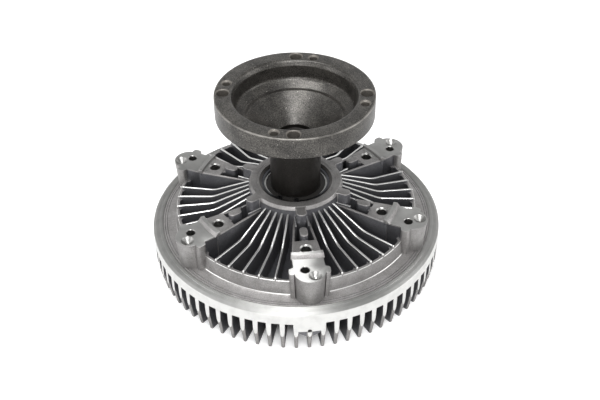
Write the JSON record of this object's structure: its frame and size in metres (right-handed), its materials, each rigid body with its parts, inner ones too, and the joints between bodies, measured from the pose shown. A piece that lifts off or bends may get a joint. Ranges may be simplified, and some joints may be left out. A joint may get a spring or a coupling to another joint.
{
  "type": "viscous fan clutch",
  "caption": "Viscous fan clutch with a finned die-cast body, bosses that carry the fan and a flanged drive hub with a bowl.",
  "frame": {"origin": "centre of the circle of cover fin tips that the clutch stands on, on its axis", "axes": "+Z along the clutch's axis, from the front cover's fins up to the drive flange; -Y towards the cover's tab and the first spoke"},
  "size_m": [0.27, 0.27, 0.178],
  "materials": {
    "cast_aluminium": "die cast, satin",
    "machined_aluminium": "die cast and turned, bright",
    "cast_iron": "phosphated, matt and grainy",
    "bearing_steel": "ground",
    "plated_steel": "zinc plated",
    "rubber": "matt",
    "cage_plastic": "moulded",
    "bimetal": "rolled strip"
  },
  "bodies": {
    "body": {"rear_housing": "cast_aluminium", "front_cover": "machined_aluminium", "cover_seal_ring": "rubber", "bearing_outer_ring": "bearing_steel", "bearing_lower_seal": "rubber", "bearing_upper_seal": "rubber", "bearing_retaining_ring": "bearing_steel", "reservoir_plate": "plated_steel", "wiper_block_1": "machined_aluminium", "wiper_block_2": "machined_aluminium", "bimetal_coil": "bimetal", "coil_anchor": "plated_steel", "anchor_rivet_1": "plated_steel", "anchor_rivet_2": "plated_steel", "plate_screw_1": "plated_steel", "plate_screw_2": "plated_steel", "plate_screw_3": "plated_steel", "plate_screw_4": "plated_steel"},
    "hub": {"drive_hub": "cast_iron", "bearing_inner_ring": "bearing_steel", "rotor_disc": "machined_aluminium", "rotor_washer": "plated_steel", "rotor_screw": "plated_steel"},
    "ball_set": {"bearing_ball_lower_01": "bearing_steel", "bearing_ball_lower_02": "bearing_steel", "bearing_ball_lower_03": "bearing_steel", "bearing_ball_lower_04": "bearing_steel", "bearing_ball_lower_05": "bearing_steel", "bearing_ball_lower_06": "bearing_steel", "bearing_ball_lower_07": "bearing_steel", "bearing_ball_lower_08": "bearing_steel", "bearing_ball_upper_01": "bearing_steel", "bearing_ball_upper_02": "bearing_steel", "bearing_ball_upper_03": "bearing_steel", "bearing_ball_upper_04": "bearing_steel", "bearing_ball_upper_05": "bearing_steel", "bearing_ball_upper_06": "bearing_steel", "bearing_ball_upper_07": "bearing_steel", "bearing_ball_upper_08": "bearing_steel", "bearing_lower_cage": "cage_plastic", "bearing_upper_cage": "cage_plastic"},
    "valve": {"valve_shaft": "plated_steel", "valve_arm": "plated_steel", "valve_shaft_seal": "rubber"}
  },
  "joints": [
    {"name": "hub_spin", "type": "hinge", "parent": "body", "child": "hub", "pos_m": [0, 0, 0.0627], "axis": [0, 0, 1], "continuous": true},
    {"name": "ball_set_spin", "type": "hinge", "parent": "body", "child": "ball_set", "pos_m": [0, 0, 0.0627], "axis": [0, 0, 1], "continuous": true},
    {"name": "valve_turn", "type": "hinge", "parent": "body", "child": "valve", "pos_m": [0, 0, 0.012], "axis": [0, 0, 1], "range_deg": [0, 35], "stiffness_Nm_per_rad": 0.05, "deforming": ["bimetal_coil"]}
  ],
  "couplings": [
    {"joint": "ball_set_spin", "follows": "hub_spin", "ratio": 0.425}
  ]
}
